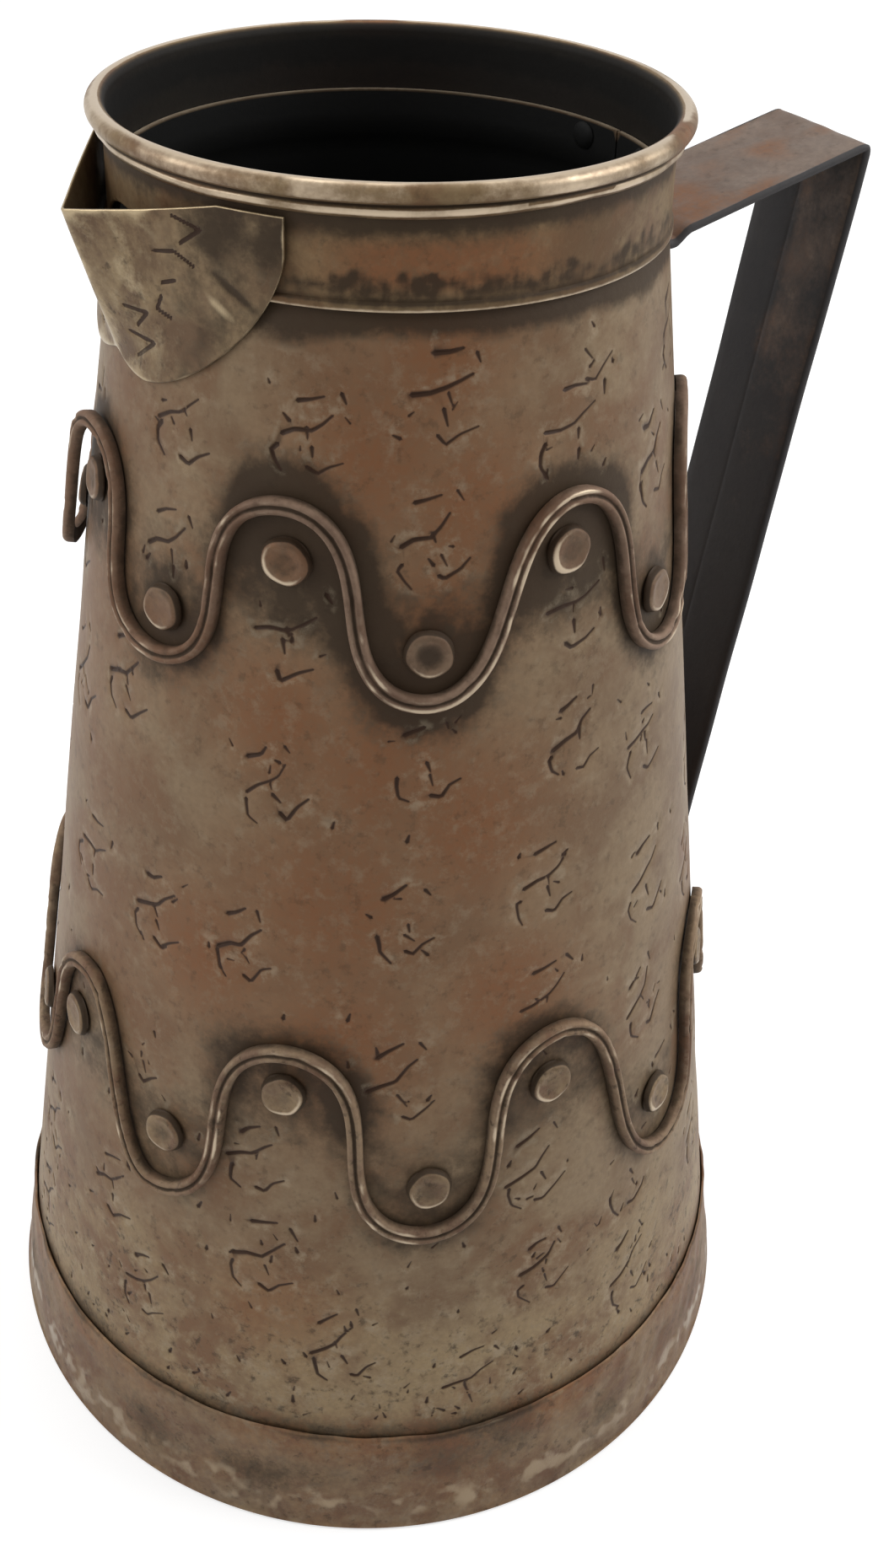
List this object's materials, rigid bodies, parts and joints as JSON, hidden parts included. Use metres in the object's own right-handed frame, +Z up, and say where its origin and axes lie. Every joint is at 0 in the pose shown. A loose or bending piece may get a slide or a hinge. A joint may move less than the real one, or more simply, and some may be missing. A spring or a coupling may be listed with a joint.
{
  "type": "metal jug",
  "caption": "Tall tapering sheet-metal jug with a wired rim, folded spout, strap handle, wavy applied straps with round studs, and a broad foot band.",
  "frame": {"origin": "centre of the flat underside, on the table", "axes": "+Z up along the jug's axis, +X towards the handle, so the spout is on -X"},
  "size_m": [0.1973, 0.1772, 0.2996],
  "materials": {
    "body_sheet": "thin sheet, brown-grey aged patina with warm copper-red patches, satin",
    "seam_sheet": "dark sooty sheet, matt",
    "collar_sheet": "thin sheet, brown patina, worn pewter-bright on the rolled rim",
    "wire_iron": "plain drawn wire, hidden inside the rim",
    "spout_sheet": "thin sheet, grey-brown patina, chisel marks",
    "foot_sheet": "thin sheet, reddish brown patina, pale worn patches low down",
    "base_sheet": "thin sheet, dull brown",
    "handle_metal": "folded strap, brown-grey above and charcoal beneath, a few scratches",
    "strap_metal": "grooved bar, brown pewter, rubbed bright on its ridges",
    "stud_metal": "low domed head, brown patina with a rubbed bright edge"
  },
  "bodies": {
    "root": {"body_cone": "body_sheet", "body_seam_strip": "seam_sheet", "neck_collar": "collar_sheet", "rim_wire": "wire_iron", "spout": "spout_sheet", "foot_band": "foot_sheet", "base_plate": "base_sheet", "handle_strap": "handle_metal", "upper_wave_strap": "strap_metal", "lower_wave_strap": "strap_metal", "upper_crest_stud_1": "stud_metal", "upper_crest_stud_2": "stud_metal", "upper_crest_stud_3": "stud_metal", "upper_crest_stud_4": "stud_metal", "upper_crest_stud_5": "stud_metal", "upper_crest_stud_6": "stud_metal", "upper_crest_stud_7": "stud_metal", "upper_crest_stud_8": "stud_metal", "upper_valley_stud_1": "stud_metal", "upper_valley_stud_2": "stud_metal", "upper_valley_stud_3": "stud_metal", "upper_valley_stud_4": "stud_metal", "upper_valley_stud_5": "stud_metal", "upper_valley_stud_6": "stud_metal", "upper_valley_stud_7": "stud_metal", "upper_valley_stud_8": "stud_metal", "lower_crest_stud_1": "stud_metal", "lower_crest_stud_2": "stud_metal", "lower_crest_stud_3": "stud_metal", "lower_crest_stud_4": "stud_metal", "lower_crest_stud_5": "stud_metal", "lower_crest_stud_6": "stud_metal", "lower_crest_stud_7": "stud_metal", "lower_valley_stud_1": "stud_metal", "lower_valley_stud_2": "stud_metal", "lower_valley_stud_3": "stud_metal", "lower_valley_stud_4": "stud_metal", "lower_valley_stud_5": "stud_metal", "lower_valley_stud_6": "stud_metal", "lower_valley_stud_7": "stud_metal", "lower_valley_stud_8": "stud_metal", "handle_upper_stud_left": "stud_metal", "handle_upper_stud_right": "stud_metal", "handle_lower_stud_left": "stud_metal", "handle_lower_stud_right": "stud_metal"}
  },
  "joints": []
}
